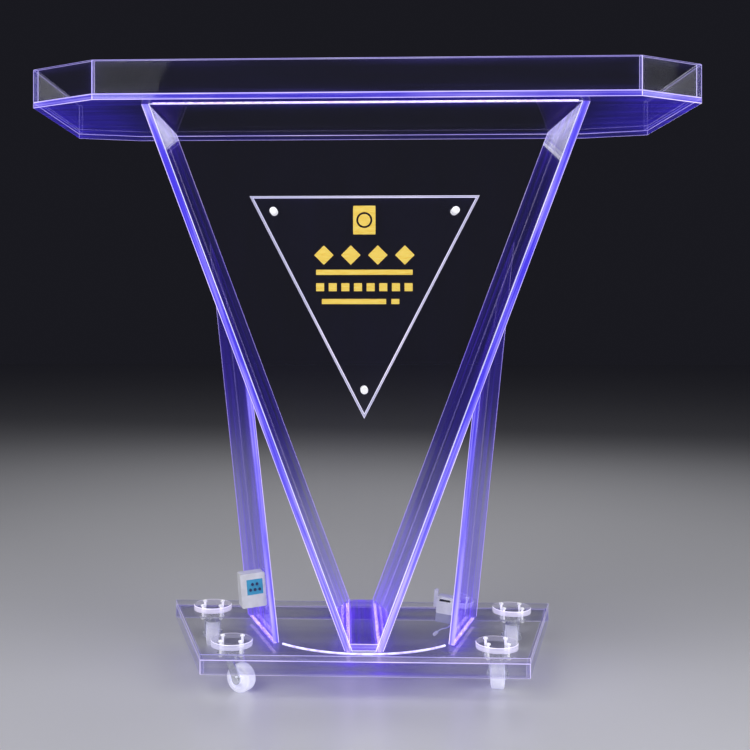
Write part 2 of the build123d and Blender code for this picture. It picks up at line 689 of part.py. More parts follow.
# ------------------------------------------------------------------ controller
CONTROLLER = prop_face(SIDES["left"], 1, CONTROLLER_LIFT)
CONTROLLER_FRONT = -CONTROLLER_SETBACK
CONTROLLER_MIDDLE = (-CONTROLLER_WIDTH / 2, CONTROLLER_HEIGHT / 2)
KEYPAD_MIDDLE = (CONTROLLER_MIDDLE[0] + KEYPAD_SHIFT_X, CONTROLLER_MIDDLE[1] + KEYPAD_SHIFT_Y)


def button_places():
    """Two buttons above three, on the controller's keypad."""
    x, y = KEYPAD_MIDDLE
    upper = [(x + way * BUTTON_COLUMN_GAP / 2, y + BUTTON_ROW_GAP / 2) for way in (-1, 1)]
    lower = [(x + way * BUTTON_COLUMN_GAP, y - BUTTON_ROW_GAP / 2) for way in (-1, 0, 1)]
    return upper + lower


def slab(width, height, thickness, centre, back_z, corner=0.0):
    """A slab in a prop frame whose rear face is at back_z."""
    outline = RectangleRounded(width, height, corner) if corner else Rectangle(width, height)
    return Pos(centre[0], centre[1], back_z) * extrude(outline, thickness)


def knob(radius, centre, back_z, length):
    """A round in a prop frame whose rear face is at back_z."""
    return Pos(centre[0], centre[1], back_z) * extrude(Circle(radius), length)


def make_controller():
    wall = CONTROLLER_WALL
    back_z = CONTROLLER_FRONT - CONTROLLER_DEPTH
    size = (CONTROLLER_WIDTH, CONTROLLER_HEIGHT)
    case_depth = CONTROLLER_DEPTH - wall
    case = slab(*size, case_depth, CONTROLLER_MIDDLE, back_z, CONTROLLER_CORNER)
    inside = (size[0] - 2 * wall, size[1] - 2 * wall)
    case -= slab(*inside, case_depth, CONTROLLER_MIDDLE, back_z + wall, CONTROLLER_CORNER - wall)
    save("controller_case", CONTROLLER * case)

    front = slab(*size, wall, CONTROLLER_MIDDLE, CONTROLLER_FRONT - wall, CONTROLLER_CORNER)
    pocket_z = CONTROLLER_FRONT - KEYPAD_SHEET
    keypad_size = (KEYPAD_WIDTH, KEYPAD_HEIGHT)
    front -= slab(*keypad_size, wall, KEYPAD_MIDDLE, pocket_z)
    keypad = slab(*keypad_size, KEYPAD_SHEET, KEYPAD_MIDDLE, pocket_z)
    hole_radius = BUTTON_RADIUS + HOLE_GAP
    for place in button_places():
        front -= knob(hole_radius, place, CONTROLLER_FRONT - 2 * wall, 4 * wall)
        keypad -= knob(hole_radius, place, CONTROLLER_FRONT - 2 * wall, 4 * wall)
    save("controller_front", CONTROLLER * front)
    save("controller_keypad", CONTROLLER * keypad)

    board_z = CONTROLLER_FRONT - wall - BOARD_SETBACK - BOARD_THICK
    board_size = (inside[0] - 2 * HOLE_GAP, inside[1] - 2 * HOLE_GAP)
    board = slab(*board_size, BOARD_THICK, CONTROLLER_MIDDLE, board_z, CONTROLLER_CORNER - wall)
    save("controller_board", CONTROLLER * board)

    stem_back = board_z + BOARD_THICK + BUTTON_TRAVEL + AXIAL_GAP
    for number, place in enumerate(button_places(), start=1):
        stem_length = CONTROLLER_FRONT + BUTTON_PROUD - stem_back
        button = knob(BUTTON_RADIUS, place, stem_back, stem_length)
        button = fillet(button.edges().group_by(Axis.Z)[-1], BUTTON_ROUND)
        flange_z = CONTROLLER_FRONT - wall - AXIAL_GAP - BUTTON_FLANGE_THICK
        button += knob(BUTTON_RADIUS + BUTTON_FLANGE_RIM, place, flange_z, BUTTON_FLANGE_THICK)
        save(f"controller_button_{number}", CONTROLLER * button)


# ------------------------------------------------------------------ power box
POWER = prop_face(SIDES["right"], -1, POWER_LIFT)
POWER_FRONT = -POWER_SETBACK
POWER_MIDDLE_X = -POWER_WIDTH / 2
POWER_BODY_HEIGHT = POWER_HEIGHT - POWER_COVER_HEIGHT


def make_power_box():
    wall = POWER_WALL
    back_z = POWER_FRONT - POWER_DEPTH
    body_middle = (POWER_MIDDLE_X, POWER_COVER_HEIGHT + POWER_BODY_HEIGHT / 2)
    body = slab(POWER_WIDTH, POWER_BODY_HEIGHT, POWER_DEPTH, body_middle, back_z, POWER_CORNER)
    hollow_width = POWER_WIDTH - 2 * wall
    hollow_height = POWER_BODY_HEIGHT - 2 * wall
    hollow_depth = POWER_DEPTH - 2 * wall
    body -= slab(hollow_width, hollow_height, hollow_depth, body_middle, back_z + wall)
    slot_y = POWER_HEIGHT - POWER_SLOT_DROP
    slot_back_z = POWER_FRONT - wall - CUT_LAP
    body -= slab(POWER_SLOT_WIDTH, POWER_SLOT_HEIGHT, 2 * wall, (POWER_MIDDLE_X, slot_y), slot_back_z)
    body -= link_cable_exit()
    save("power_box_case", POWER * body)

    cover_middle = (POWER_MIDDLE_X, POWER_COVER_HEIGHT / 2)
    cover = slab(POWER_WIDTH, POWER_COVER_HEIGHT, POWER_DEPTH, cover_middle, back_z, POWER_CORNER)
    save("power_box_cover", POWER * cover)

    aerial_height = AERIAL_LAP + AERIAL_RISE
    aerial_middle = (-POWER_WIDTH - AERIAL_WIDTH / 2, POWER_HEIGHT - AERIAL_LAP + aerial_height / 2)
    aerial_back_z = POWER_FRONT - AERIAL_SETBACK - AERIAL_DEPTH
    aerial = slab(AERIAL_WIDTH, aerial_height, AERIAL_DEPTH, aerial_middle, aerial_back_z, POWER_CORNER)
    save("power_box_aerial", POWER * aerial)


# The link cable leaves the back of the power box, loops once and enters the base.
def link_route():
    """The cable's corner points in the lectern's frame."""
    back_z = POWER_FRONT - POWER_DEPTH
    far_z = back_z - LINK_OUT
    near_z = far_z + LINK_RETURN
    low_y = LINK_START_Y - LINK_DROP
    points = [
        (LINK_START_X, LINK_START_Y, back_z + POWER_WALL),
        (LINK_START_X, LINK_START_Y, far_z),
        (LINK_START_X, low_y, far_z),
        (LINK_START_X, low_y, near_z),
    ]
    route = [POWER.from_local_coords(Vector(*p)) for p in points]
    last = route[-1]
    route.append(Vector(last.X, last.Y, BASE_TOP_Z - LINK_BURY))
    return route


def round_tube(name, route, radius, turn_radii):
    """A round cable along straight runs joined by tangent arcs."""
    path = FilletPolyline(*route, radius=list(turn_radii))
    print(f"{name}: {path.length:.1f} mm long, turn radii {turn_radii}")
    start = Plane(origin=path @ 0, z_dir=path % 0)
    return sweep(start * Circle(radius), path=path)


def link_cable_hole():
    """Hole in the base that the link cable enters."""
    end = link_route()[-1]
    hole = extrude(Circle(LINK_RADIUS + HOLE_GAP), LINK_BURY + CUT_LAP)
    return Pos(end.X, end.Y, BASE_TOP_Z - LINK_BURY) * hole


def link_cable_exit():
    """Hole in the back of the power box, in the box's own frame."""
    start_z = POWER_FRONT - POWER_DEPTH - CUT_LAP
    length = POWER_WALL + 2 * CUT_LAP
    return knob(LINK_RADIUS + HOLE_GAP, (LINK_START_X, LINK_START_Y), start_z, length)


# The short power lead hangs from the cover, and its socket stops just above the base.
# These points are in the power box's frame: across, up, and towards the front.
LEAD_ROUTE = [
    (-4.0, 0.0, -20.0),
    (-4.0, -7.0, -20.0),
    (-11.0, -12.5, -20.5),
    (-22.5, -16.5, -20.5),
    (-27.0, -21.5, -20.0),
]


def make_cables():
    save("link_cable", round_tube("link cable", link_route(), LINK_RADIUS, LINK_TURNS))
    lead = [POWER.from_local_coords(Vector(*p)) for p in LEAD_ROUTE]
    save("power_lead", round_tube("power lead", lead, LEAD_RADIUS, LEAD_TURNS))
    mouth = Plane(origin=lead[-1], z_dir=lead[-1] - lead[-2])
    socket = extrude(Circle(SOCKET_RADIUS), SOCKET_LENGTH)
    socket = fillet(socket.edges().filter_by(GeomType.CIRCLE), SOCKET_ROUND)
    save("power_lead_socket", mouth * socket)


make_tray()
make_base()
make_led_strips()
make_pads()
make_castors()
make_legs()
make_v_panel()
make_foot_spacer()
make_name_plate()
make_props()
make_controller()
make_power_box()
make_cables()
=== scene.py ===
import json
import math

import bmesh
import bpy
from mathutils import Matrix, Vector


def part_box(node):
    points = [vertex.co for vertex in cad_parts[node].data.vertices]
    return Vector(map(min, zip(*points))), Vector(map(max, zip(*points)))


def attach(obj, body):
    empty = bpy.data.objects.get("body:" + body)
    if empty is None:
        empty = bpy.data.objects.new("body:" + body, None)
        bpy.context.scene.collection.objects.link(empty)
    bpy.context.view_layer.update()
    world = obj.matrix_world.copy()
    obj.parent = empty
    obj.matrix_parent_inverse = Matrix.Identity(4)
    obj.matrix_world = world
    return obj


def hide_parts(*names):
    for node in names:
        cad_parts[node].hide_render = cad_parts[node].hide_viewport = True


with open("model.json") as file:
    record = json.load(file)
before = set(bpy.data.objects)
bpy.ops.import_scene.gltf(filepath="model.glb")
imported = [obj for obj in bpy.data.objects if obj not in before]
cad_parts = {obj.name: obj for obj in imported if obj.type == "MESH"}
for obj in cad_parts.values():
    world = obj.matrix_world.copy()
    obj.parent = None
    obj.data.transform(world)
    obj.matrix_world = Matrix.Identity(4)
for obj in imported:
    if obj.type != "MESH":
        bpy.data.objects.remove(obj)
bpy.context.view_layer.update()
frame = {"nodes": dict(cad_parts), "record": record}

# A clear acrylic lectern whose boards carry blue-violet light out through their edges.
# The imported frame gives every place and size. This script gives the boards their polished
# finish and their painted glow, and adds the small parts that the frame leaves plain.
MM = 0.001
RECORD = frame["record"]
SLOTS = {row["node"]: row["material_slot"] for row in RECORD["subparts"]}
BODY_OF = {node: body for body, nodes in RECORD["behaviour"]["bodies"].items() for node in nodes}


# ------------------------------------------------------------------ shader writing
class Value:
    """A node socket that takes part in Python arithmetic."""

    def __init__(self, paint, socket):
        self.paint = paint
        self.socket = socket

    def with_other(self, operation, *others):
        return self.paint.node("ShaderNodeMath", {"operation": operation}, [self, *others])

    def __add__(self, other):
        return self.with_other("ADD", other)

    __radd__ = __add__

    def __mul__(self, other):
        return self.with_other("MULTIPLY", other)

    __rmul__ = __mul__

    def __sub__(self, other):
        return self.with_other("SUBTRACT", other)

    def __rsub__(self, other):
        return self.paint.node("ShaderNodeMath", {"operation": "SUBTRACT"}, [other, self])

    def __truediv__(self, other):
        return self.with_other("DIVIDE", other)

    def __pow__(self, other):
        return self.with_other("POWER", other)

    def smaller(self, other):
        return self.with_other("MINIMUM", other)

    def size(self):
        return self.with_other("ABSOLUTE")

    def exp(self):
        return self.with_other("EXPONENT")

    def clamped(self):
        return self.paint.node("ShaderNodeClamp", {}, [self])


class Paint:
    """One material under construction."""

    def __init__(self, name):
        self.material = bpy.data.materials.new(name)
        self.material.use_nodes = True
        self.tree = self.material.node_tree
        self.tree.nodes.clear()
        self.shader = self.tree.nodes.new("ShaderNodeBsdfPrincipled")
        output = self.tree.nodes.new("ShaderNodeOutputMaterial")
        self.tree.links.new(self.shader.outputs[0], output.inputs["Surface"])

    def node(self, kind, settings, sockets, out=0):
        """A node of any kind: its settings first, then the values or links of its sockets."""
        node = self.tree.nodes.new(kind)
        for key, value in settings.items():
            setattr(node, key, value)
        pairs = sockets.items() if isinstance(sockets, dict) else enumerate(sockets)
        for key, value in pairs:
            self.feed(node.inputs[key], value)
        return Value(self, node.outputs[out])

    def feed(self, socket, value):
        if isinstance(value, Value):
            self.tree.links.new(value.socket, socket)
        elif socket.type == "RGBA" and len(value) == 3:
            socket.default_value = (*value, 1.0)
        else:
            socket.default_value = value

    def finish(self, **sockets):
        """Set the shader's sockets; underscores in a name stand for spaces."""
        for key, value in sockets.items():
            self.feed(self.shader.inputs[key.replace("_", " ")], value)
        return self.material

    def place(self):
        return self.node("ShaderNodeTexCoord", {}, {}, out="Object")

    def uv(self, layer):
        return self.node("ShaderNodeUVMap", {"uv_map": layer}, {}, out="UV")

    def parts(self, vector):
        split = self.node("ShaderNodeSeparateXYZ", {}, [vector]).socket.node
        return [Value(self, socket) for socket in split.outputs]

    def scaled(self, vector, scale):
        return self.node("ShaderNodeMapping", {}, {"Vector": vector, "Scale": scale})

    def noise(self, vector, scale, detail=2.0):
        sockets = {"Vector": vector, "Scale": scale, "Detail": detail}
        return self.node("ShaderNodeTexNoise", {}, sockets)

    def span(self, value, low, high, to_low=0.0, to_high=1.0):
        """The value carried from one range to another and held at its ends."""
        return self.node("ShaderNodeMapRange", {}, [value, low, high, to_low, to_high])

    def blend(self, factor, first, second):
        """A colour between two colours."""
        return self.node("ShaderNodeMix", {"data_type": "RGBA"}, {0: factor, 6: first, 7: second}, out=2)

    def bump(self, height, strength, distance):
        sockets = {"Height": height, "Strength": strength, "Distance": distance}
        return self.node("ShaderNodeBump", {}, sockets, out="Normal")

    def outside(self):
        """1 where a surface is seen from outside its board, 0 where it is seen through the board."""
        return 1.0 - self.node("ShaderNodeNewGeometry", {}, {}, out="Backfacing")

    def facing(self, blend):
        """Rises from 0 where the surface faces the eye to 1 where it is seen edge on."""
        return self.node("ShaderNodeLayerWeight", {}, {"Blend": blend}, out="Facing")


# ------------------------------------------------------------------ where the light comes from
BASE_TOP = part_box("base_panel")[1].z
TRAY_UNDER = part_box("tray_panel")[0].z
V_PANEL_Y = (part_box("v_panel")[0].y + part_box("v_panel")[1].y) / 2
LEG_TOP_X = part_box("right_leg")[1].x
LEG_FRONT, LEG_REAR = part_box("right_leg")[0].y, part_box("right_leg")[1].y
LEG_FOOT_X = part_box("foot_spacer")[1].x

# How far the light carries through a board before it has faded to a third.
NEAR_FOOT_REACH = 100.0 * MM
LONG_FOOT_REACH = 420.0 * MM
UNDER_TRAY_REACH = 50.0 * MM
TRAY_REACH = 22.0 * MM
LEG_FOOT_REACH = 35.0 * MM
PROP_FOOT_REACH = 30.0 * MM
FOOT_FADE = 50.0 * MM


def prop_foot_line():
    """A prop's foot on the base: where it starts, how it spreads to the rear, its two ends."""
    corners = [v.co for v in frame["nodes"]["right_prop"].data.vertices if v.co.z < BASE_TOP + MM]
    front = min(corners, key=lambda p: p.y)
    rear = max(corners, key=lambda p: p.y)
    spread = (rear.x - front.x) / (rear.y - front.y)
    return front.x, spread, front.y, rear.y


def between(paint, value, low, high, soft):
    """1 between two limits, fading to 0 outside them."""
    return paint.span(value, low - soft, low) * paint.span(value, high, high + soft, 1.0, 0.0)


def upright_glow(paint):
    """Light in a leg or prop, from the strips at its foot and under the tray."""
    _, _, z = paint.parts(paint.place())
    foot = ((BASE_TOP - z) / NEAR_FOOT_REACH).exp()
    long_foot = ((BASE_TOP - z) / LONG_FOOT_REACH).exp()
    top = ((z - TRAY_UNDER) / UNDER_TRAY_REACH).exp()
    return (foot * 0.7 + long_foot * 0.62 + top * 0.6).clamped()


def tray_glow(paint):
    """Light in the tray, along the strip over the V panel and out at the two ends."""
    x, y, _ = paint.parts(paint.place())
    between_legs = paint.span(x.size(), LEG_TOP_X - 30.0 * MM, LEG_TOP_X, 1.0, 0.25)
    strip = ((y - V_PANEL_Y).size() / -TRAY_REACH).exp() * between_legs
    ends = paint.span(x.size(), LEG_TOP_X - 40.0 * MM, LEG_TOP_X + 100.0 * MM) * 0.55
    return (strip + ends).clamped()


def base_glow(paint):
    """Light in the base, beside the feet of the legs and of the props."""
    x, y, _ = paint.parts(paint.place())
    start, spread, front, rear = prop_foot_line()
    from_leg = (x.size() - LEG_FOOT_X).size()
    from_prop = (x.size() - (y - front) * spread - start).size()
    leg = (from_leg / -LEG_FOOT_REACH).exp() * between(paint, y, LEG_FRONT, LEG_REAR, FOOT_FADE)
    prop = (from_prop / -PROP_FOOT_REACH).exp() * between(paint, y, front, rear, FOOT_FADE)
    return (leg + prop).clamped()


def no_glow(paint):
    """An unlit board: only a trace of stray light."""
    _, _, z = paint.parts(paint.place())
    return paint.span(z, BASE_TOP, TRAY_UNDER, 0.12, 0.08)


# ------------------------------------------------------------------ lit acrylic
NIGHT = (0.020, 0.006, 0.62)
BLUE = (0.035, 0.012, 0.85)
DEEP = (0.05, 0.02, 0.80)
VIOLET = (0.16, 0.05, 1.0)
DIM = (0.22, 0.20, 0.45)
SOFT = (0.52, 0.50, 0.80)
LAVENDER = (0.50, 0.42, 1.0)
PALE = (0.78, 0.78, 0.95)
HOT = (1.0, 0.86, 1.0)
# An arris with less painted glow, nearly clear where it is seen through its board.
DIM_GLOW_LINE = (BLUE, LAVENDER, 0.8, 0.7, 0.05)


def clear_face(name, glow, clear_alpha, lit_alpha, halo, strength, reach):
    """A broad face: nearly clear, with the trapped light streaking along it."""
    paint = Paint(name)
    near_across, near_along, _ = paint.parts(paint.uv("near"))
    far_across, far_along, _ = paint.parts(paint.uv("far"))
    edge = near_across.smaller(far_across).smaller(near_along.smaller(far_along) * 0.7)
    rim = (edge / -reach).exp()
    fine = paint.noise(paint.scaled(paint.uv("near"), (170.0, 2.5, 1.0)), 1.0, 3.0)
    broad = paint.noise(paint.scaled(paint.uv("near"), (22.0, 4.0, 1.0)), 1.0)
    streak = paint.span(fine * 0.55 + broad * 0.45, 0.38, 0.64, 0.25, 1.0)
    source = glow(paint)
    lit = ((rim * 0.55 + source * 0.8) * streak).clamped()
    scuff = paint.noise(paint.place(), 700.0)
    tone = paint.blend(lit, BLUE, halo)
    mirror = paint.facing(0.35) ** 3.0
    return paint.finish(
        Base_Color=paint.blend(lit, (0.03, 0.03, 0.06), (0.10, 0.07, 0.45)),
        Alpha=(lit * (lit_alpha - clear_alpha) + clear_alpha + mirror * 0.22).clamped(),
        Roughness=paint.span(scuff, 0.35, 0.75, 0.01, 0.06),
        IOR=1.49,
        Specular_IOR_Level=0.6,
        Emission_Color=paint.blend(lit, (0.0, 0.0, 0.0), tone),
        Emission_Strength=strength,
        Coat_Weight=0.3,
        Coat_Roughness=0.01,
    )


def narrow_edge(name, glow, colour, hot, strength, opacity, inner_opacity):
    """A narrow face or arris that the light leaves through, with lines drawn out along it that carry its
    painted glow and vary its gloss.
    """
    paint = Paint(name)
    wander = paint.noise(paint.scaled(paint.place(), (7.0, 7.0, 5.0)), 1.0, 3.0)
    lines = paint.noise(paint.scaled(paint.uv("deep"), (190.0, 3.0, 1.0)), 1.0, 3.0)
    source = glow(paint)
    # Painted glow: light from the strips, broken into lines and patches along the edge.
    edge_glow = (source * 0.28 + paint.span(wander * 0.35 + lines * 0.65, 0.43, 0.62, 0.0, 0.55)).clamped()
    tone = paint.blend(edge_glow, colour, hot)
    return paint.finish(
        Base_Color=paint.blend(edge_glow, (0.05, 0.04, 0.3), tone),
        Alpha=paint.outside() * (opacity - inner_opacity) + inner_opacity,
        Roughness=paint.span(lines, 0.3, 0.7, 0.04, 0.18),
        IOR=1.49,
        Emission_Color=tone,
        Emission_Strength=strength,
        Coat_Weight=0.8,
        Coat_Roughness=0.03,
    )


def acrylic(name, glow, face, edge, arris, joint):
    """The face, edge, arris, joint and dim glow arris materials of one kind of board.

    A face is given as: alpha where clear, alpha where lit, glow colour, strength, reach of the rim.
    The others are given as: colour, hot colour, strength, opacity, opacity seen through the board.
    """
    return [
        clear_face(name + "_face", glow, *face),
        narrow_edge(name + "_edge", glow, *edge),
        narrow_edge(name + "_arris", glow, *arris),
        narrow_edge(name + "_joint", glow, *joint),
        narrow_edge(name + "_dim_glow_arris", glow, *DIM_GLOW_LINE),
    ]


def make_acrylics():
    """The kinds of board, from the brightly lit legs to the unlit name plate."""
    leg = acrylic(
        "leg_board", upright_glow, (0.30, 0.80, VIOLET, 1.1, 0.05),
        (NIGHT, LAVENDER, 1.0, 0.94, 0.05), (LAVENDER, HOT, 1.1, 1.0, 1.0), (VIOLET, LAVENDER, 0.9, 0.3, 0.2))
    spacer = acrylic(
        "spacer_board", upright_glow, (0.16, 0.62, VIOLET, 1.0, 0.008),
        (VIOLET, LAVENDER, 0.8, 0.6, 0.2), (LAVENDER, HOT, 0.8, 0.9, 0.3), (VIOLET, LAVENDER, 0.8, 0.6, 0.3))
    tray = acrylic(
        "tray_board", tray_glow, (0.12, 0.85, DEEP, 1.1, 0.02),
        (BLUE, LAVENDER, 0.6, 0.7, 0.08), (LAVENDER, HOT, 1.2, 1.0, 1.0), (BLUE, LAVENDER, 0.6, 0.7, 0.08))
    rim = acrylic(
        "rim_board", no_glow, (0.06, 0.35, LAVENDER, 0.5, 0.006),
        (DEEP, VIOLET, 0.6, 0.3, 0.1), (LAVENDER, PALE, 0.85, 1.0, 0.7), (DEEP, LAVENDER, 0.5, 0.3, 0.1))
    base = acrylic(
        "base_board", base_glow, (0.10, 0.66, VIOLET, 1.1, 0.010),
        (DIM, HOT, 0.40, 0.3, 0.08), (SOFT, HOT, 0.80, 0.95, 0.3), (SOFT, HOT, 0.5, 0.4, 0.2))
    plain = acrylic(
        "plain_board", no_glow, (0.025, 0.16, PALE, 0.25, 0.004),
        (PALE, HOT, 0.8, 0.7, 0.2), (PALE, HOT, 1.1, 1.0, 0.6), (PALE, HOT, 0.5, 0.7, 0.4))
    return {"leg": leg, "spacer": spacer, "tray": tray, "rim": rim, "base": base, "plain": plain}


FACE, EDGE, ARRIS, JOINT, DIM_GLOW_ARRIS = range(5)
SAME_PLACE = 0.02 * MM
SAME_WAY = 0.7
END_WAY = 0.3
SHARP = math.radians(20.0)
FLAT = math.radians(1.0)


def adopt(name, mesh, nodes=(), body=None):
    """Put a finished mesh in the scene, on its CAD nodes' body or on a named one."""
    piece = bpy.data.objects.new(name, mesh)
    bpy.context.scene.collection.objects.link(piece)
    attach(piece, body or BODY_OF[nodes[0]])
    if nodes:
        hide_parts(*nodes)
    return piece


def joined_copy(node):
    """A CAD node's mesh with its loose triangles joined and its flat faces made whole."""
    work = bmesh.new()
    work.from_mesh(frame["nodes"][node].data)
    bmesh.ops.remove_doubles(work, verts=work.verts, dist=SAME_PLACE)
    bmesh.ops.dissolve_limit(work, angle_limit=FLAT, verts=work.verts, edges=work.edges)
    return work


def finished_mesh(work, name, family):
    """The working mesh as a mesh with its materials."""
    mesh = bpy.data.meshes.new(name)
    work.to_mesh(mesh)
    work.free()
    for material in family:
        mesh.materials.append(material)
    return mesh


def write_distances(work, across, along):
    """UV maps in metres: from one pair of edges, from the opposite pair, and through the board."""
    near = work.loops.layers.uv.new("near")
    far = work.loops.layers.uv.new("far")
    deep = work.loops.layers.uv.new("deep")
    through = across.cross(along)
    low = [min(v.co.dot(axis) for v in work.verts) for axis in (across, along)]
    high = [max(v.co.dot(axis) for v in work.verts) for axis in (across, along)]
    for face in work.faces:
        for loop in face.loops:
            u, v = loop.vert.co.dot(across), loop.vert.co.dot(along)
            loop[near].uv = (u - low[0], v - low[1])
            loop[far].uv = (high[0] - u, high[1] - v)
            loop[deep].uv = (loop.vert.co.dot(through), v - low[1])


def sort_arrises(work, along, out, bright_way):
    """Dim the painted glow on the arrises at an upright board's ends, and on two of its four long ones.

    The bright long arrises are the rear one on the bright side and the front one opposite it.
    """
    for face in work.faces:
        if face.material_index != ARRIS:
            continue
        if abs(face.normal.dot(along)) > END_WAY:
            face.material_index = JOINT
        elif face.normal.dot(out) * bright_way * face.normal.y < 0:
            face.material_index = DIM_GLOW_ARRIS


def lit_board(node, family, chamfer, along=None, bright_way=0):
    """A flat board with its arrises taken off, sorted into faces, edges and joints.

    bright_way is 1 where the rear of an upright board is bright on its outer side, -1 on its inner.
    """
    work = joined_copy(node)
    hull = bmesh.ops.convex_hull(work, input=work.verts)
    inside = {e for e in hull["geom_interior"] + hull["geom_unused"] if isinstance(e, bmesh.types.BMVert)}
    bmesh.ops.delete(work, geom=list(inside), context="VERTS")
    old_faces = [f for f in work.faces if f not in hull["geom"]]
    bmesh.ops.delete(work, geom=old_faces, context="FACES_KEEP_BOUNDARY")
    bmesh.ops.dissolve_limit(work, angle_limit=FLAT, verts=work.verts, edges=work.edges)
    bmesh.ops.recalc_face_normals(work, faces=work.faces)
    if along is None:
        longest = max(work.edges, key=lambda e: e.calc_length())
        along = (longest.verts[1].co - longest.verts[0].co).normalized()
    thin = max(work.faces, key=lambda f: f.calc_area()).normal.copy()
    across = thin.cross(along).normalized()
    for face in work.faces:
        face.material_index = EDGE
        if abs(face.normal.dot(thin)) > SAME_WAY:
            face.material_index = FACE
        elif abs(face.normal.dot(along)) > SAME_WAY:
            face.material_index = JOINT
    sharp = [edge for edge in work.edges if edge.calc_face_angle(0.0) > SHARP]
    bmesh.ops.bevel(work, geom=sharp, offset=chamfer, offset_type="WIDTH", segments=1,
                    profile=0.5, affect="EDGES", material=ARRIS, clamp_overlap=True)
    if bright_way:
        middle_x = sum(v.co.x for v in work.verts) / len(work.verts)
        sort_arrises(work, along, thin if thin.x * middle_x > 0 else -thin, bright_way)
    write_distances(work, across, along)
    return adopt(node + "_board", finished_mesh(work, node + "_board", family), [node])


X_AXIS, Y_AXIS, Z_AXIS = Vector((1, 0, 0)), Vector((0, 1, 0)), Vector((0, 0, 1))
LEG_ARRIS = 2.0 * MM
BOARD_ARRIS = 1.3 * MM
PLATE_ARRIS = 0.9 * MM
PLATE_SIDE_LEAST = 100.0 * MM
SQUARE_ON = 0.99
NEARLY_FLAT = 0.95


def build_boards(kinds):
    """Every flat board, each with the arris and the finish of its kind."""
    for node in sorted(frame["nodes"]):
        if node.endswith("_leg"):
            lit_board(node, kinds["leg"], LEG_ARRIS, bright_way=-1)
        elif node.endswith("_prop"):
            lit_board(node, kinds["leg"], LEG_ARRIS, bright_way=1)
        elif node.startswith("tray_") and node.endswith("_wall"):
            lit_board(node, kinds["rim"], BOARD_ARRIS)
        elif node.endswith("_skirt"):
            lit_board(node, kinds["base"], BOARD_ARRIS)
    lit_board("tray_panel", kinds["tray"], BOARD_ARRIS, X_AXIS)
    lit_board("base_panel", kinds["base"], BOARD_ARRIS, X_AXIS)
    lit_board("foot_spacer", kinds["spacer"], BOARD_ARRIS, Y_AXIS)
    lit_board("v_panel", kinds["plain"], BOARD_ARRIS, Z_AXIS)


def build_name_plate(kinds):
    """The bevelled triangle, with a bright line along each of its long arrises."""
    work = joined_copy("name_plate")
    for face in work.faces:
        face.material_index = FACE if abs(face.normal.y) > SQUARE_ON else EDGE
    sharp = [e for e in work.edges if e.calc_face_angle(0.0) > SHARP]
    long_edges = [e for e in sharp if e.calc_length() > PLATE_SIDE_LEAST]
    bmesh.ops.bevel(work, geom=long_edges, offset=PLATE_ARRIS, offset_type="WIDTH", segments=1,
                    profile=0.5, affect="EDGES", material=ARRIS, clamp_overlap=True)
    write_distances(work, X_AXIS, Z_AXIS)
    adopt("name_plate_board", finished_mesh(work, "name_plate_board", kinds["plain"]), ["name_plate"])


def build_pads(kinds):
    """The round castor pads, whose rims and chamfers catch the light."""
    work = joined_copy("castor_pads")
    for face in work.faces:
        level = abs(face.normal.z)
        face.material_index = FACE if level > NEARLY_FLAT else ARRIS if level > END_WAY else EDGE
    write_distances(work, X_AXIS, Y_AXIS)
    adopt("castor_pad_rounds", finished_mesh(work, "castor_pad_rounds", kinds["plain"]), ["castor_pads"])


# ------------------------------------------------------------------ other finishes
def moulded(name, colour, roughness, grain=0.05):
    """Moulded plastic with a faint texture and a slight change of tone."""
    paint = Paint(name)
    tone = paint.span(paint.noise(paint.place(), 60.0, 3.0), 0.3, 0.7)
    fine = paint.noise(paint.place(), 2500.0)
    return paint.finish(
        Base_Color=paint.blend(tone, tuple(channel * 0.84 for channel in colour), colour),
        Roughness=paint.span(fine, 0.3, 0.7, roughness - 0.06, roughness + 0.08),
        Normal=paint.bump(fine, grain, 0.0002),
    )


def plated(name, colour, roughness, metal=1.0, painted_glow=0.0):
    """Bright plate with fine scratches, a few duller patches and a faint painted glow."""
    paint = Paint(name)
    scratches = paint.noise(paint.scaled(paint.place(), (300.0, 2600.0, 300.0)), 1.0)
    patches = paint.span(paint.noise(paint.place(), 70.0, 3.0), 0.35, 0.7)
    return paint.finish(
        Base_Color=paint.blend(patches, colour, tuple(channel * 0.7 for channel in colour)),
        Metallic=metal,
        Roughness=paint.span(scratches * 0.6 + patches * 0.4, 0.2, 0.8, roughness, roughness + 0.18),
        Normal=paint.bump(scratches, 0.05, 0.0001),
        # A painted glow in the plate's own colour.
        Emission_Color=colour,
        Emission_Strength=painted_glow,
    )


def wheel_nylon():
    """Milky nylon that glows a little, scuffed where it runs."""
    paint = Paint("wheel_nylon")
    cloud = paint.span(paint.noise(paint.place(), 45.0, 3.0), 0.3, 0.7)
    scuff = paint.noise(paint.place(), 420.0, 4.0)
    tone = paint.blend(cloud, (0.62, 0.62, 0.80), (0.86, 0.86, 0.96))
    return paint.finish(
        Base_Color=tone,
        Roughness=paint.span(scuff, 0.3, 0.7, 0.26, 0.5),
        Normal=paint.bump(scuff, 0.12, 0.0003),
        Emission_Color=tone,
        Emission_Strength=0.48,
        Coat_Weight=0.3,
    )


def glowing(name, colour, hot, strength):
    """A lit diffuser, a little brighter in places."""
    paint = Paint(name)
    flicker = paint.span(paint.noise(paint.place(), 90.0), 0.35, 0.65)
    tone = paint.blend(flicker, colour, hot)
    return paint.finish(Base_Color=tone, Emission_Color=tone, Emission_Strength=strength, Roughness=0.35)


def circuit_board():
    """Green lacquer over darker tracks."""
    paint = Paint("circuit_board")
    track = paint.span(paint.noise(paint.scaled(paint.place(), (700.0, 700.0, 1400.0)), 1.0), 0.44, 0.54)
    return paint.finish(
        Base_Color=paint.blend(track, (0.01, 0.10, 0.04), (0.02, 0.24, 0.10)),
        Roughness=paint.span(track, 0.0, 1.0, 0.22, 0.42),
    )


